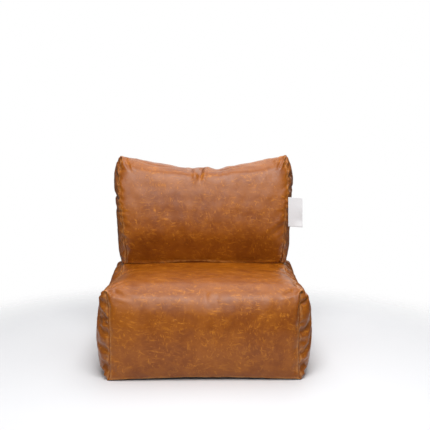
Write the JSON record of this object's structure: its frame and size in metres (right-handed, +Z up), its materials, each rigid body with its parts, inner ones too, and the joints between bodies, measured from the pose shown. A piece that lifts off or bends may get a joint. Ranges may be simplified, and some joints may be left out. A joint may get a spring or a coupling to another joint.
{
  "type": "bean bag chair",
  "caption": "Low lounge chair made of a bead-filled seat block and a leaning bead-filled back cushion sewn on along a crease, in leather-look covers with zips",
  "frame": {"origin": "on the floor, under the middle of the chair's outline", "axes": "+Z up; the front of the seat faces -Y; +X to the right of someone looking at the front"},
  "size_m": [0.8002, 0.7671, 0.7473],
  "materials": {
    "leather": "distressed cognac leather-look polyurethane, satin",
    "base_fabric": "black woven anti-slip polyester",
    "liner_fabric": "off-white plain woven polyester",
    "foam_beads": "expanded polystyrene beads, 3 to 5 mm",
    "zip_tape": "brown woven polyester tape",
    "zip_coil": "brown nylon coil",
    "zip_metal": "antique brass",
    "label_fabric": "white satin-woven polyester, blank",
    "webbing": "brown woven polypropylene webbing"
  },
  "bodies": {
    "seat": {"seat_top_front_panel": "leather", "seat_left_panel": "leather", "seat_right_panel": "leather", "seat_rear_upper_panel": "leather", "seat_rear_lower_panel": "leather", "seat_base_panel": "base_fabric", "seat_liner": "liner_fabric", "seat_bead_fill": "foam_beads", "seat_zip_upper_tape": "zip_tape", "seat_zip_lower_tape": "zip_tape", "seat_zip_upper_coil": "zip_coil", "seat_zip_lower_coil": "zip_coil", "seat_zip_end_stops": "zip_metal", "seat_hinge_flap": "leather"},
    "seat_zip_slider": {"seat_zip_slider": "zip_metal"},
    "seat_zip_pull": {"seat_zip_pull": "zip_metal"},
    "backrest": {"back_top_front_panel": "leather", "back_left_panel": "leather", "back_right_panel": "leather", "back_rear_upper_panel": "leather", "back_rear_lower_panel": "leather", "back_base_panel": "leather", "back_liner": "liner_fabric", "back_bead_fill": "foam_beads", "back_zip_upper_tape": "zip_tape", "back_zip_lower_tape": "zip_tape", "back_zip_upper_coil": "zip_coil", "back_zip_lower_coil": "zip_coil", "back_zip_end_stops": "zip_metal", "back_hinge_flap": "leather"},
    "back_zip_slider": {"back_zip_slider": "zip_metal"},
    "back_zip_pull": {"back_zip_pull": "zip_metal"},
    "care_label": {"care_label": "label_fabric"},
    "carry_loop": {"carry_loop": "webbing"}
  },
  "joints": [
    {"name": "backrest_fold", "type": "hinge", "parent": "seat", "child": "backrest", "pos_m": [0, 0.1, 0.3234], "axis": [1, 0, 0], "range_deg": [0, 60]},
    {"name": "seat_zip_slide", "type": "slide", "parent": "seat", "child": "seat_zip_slider", "axis": [1, 0, 0], "range_m": [0, 0.54]},
    {"name": "seat_zip_pull_turn", "type": "hinge", "parent": "seat_zip_slider", "child": "seat_zip_pull", "pos_m": [-0.271, 0.37645, 0.15], "axis": [0, 0, -1], "range_deg": [0, 175]},
    {"name": "back_zip_slide", "type": "slide", "parent": "backrest", "child": "back_zip_slider", "axis": [1, 0, 0], "range_m": [0, 0.54]},
    {"name": "back_zip_pull_turn", "type": "hinge", "parent": "back_zip_slider", "child": "back_zip_pull", "pos_m": [-0.271, 0.33404, 0.4133], "axis": [0, -0.1392, -0.9903], "range_deg": [0, 175]},
    {"name": "care_label_flap", "type": "hinge", "parent": "backrest", "child": "care_label", "pos_m": [0.3255, 0.0867, 0.52407], "axis": [0, 0.1103, 0.9939], "range_deg": [-150, 45]},
    {"name": "carry_loop_swing", "type": "hinge", "parent": "backrest", "child": "carry_loop", "pos_m": [0, 0.36245, 0.64169], "axis": [1, 0, 0], "range_deg": [0, 85]}
  ]
}
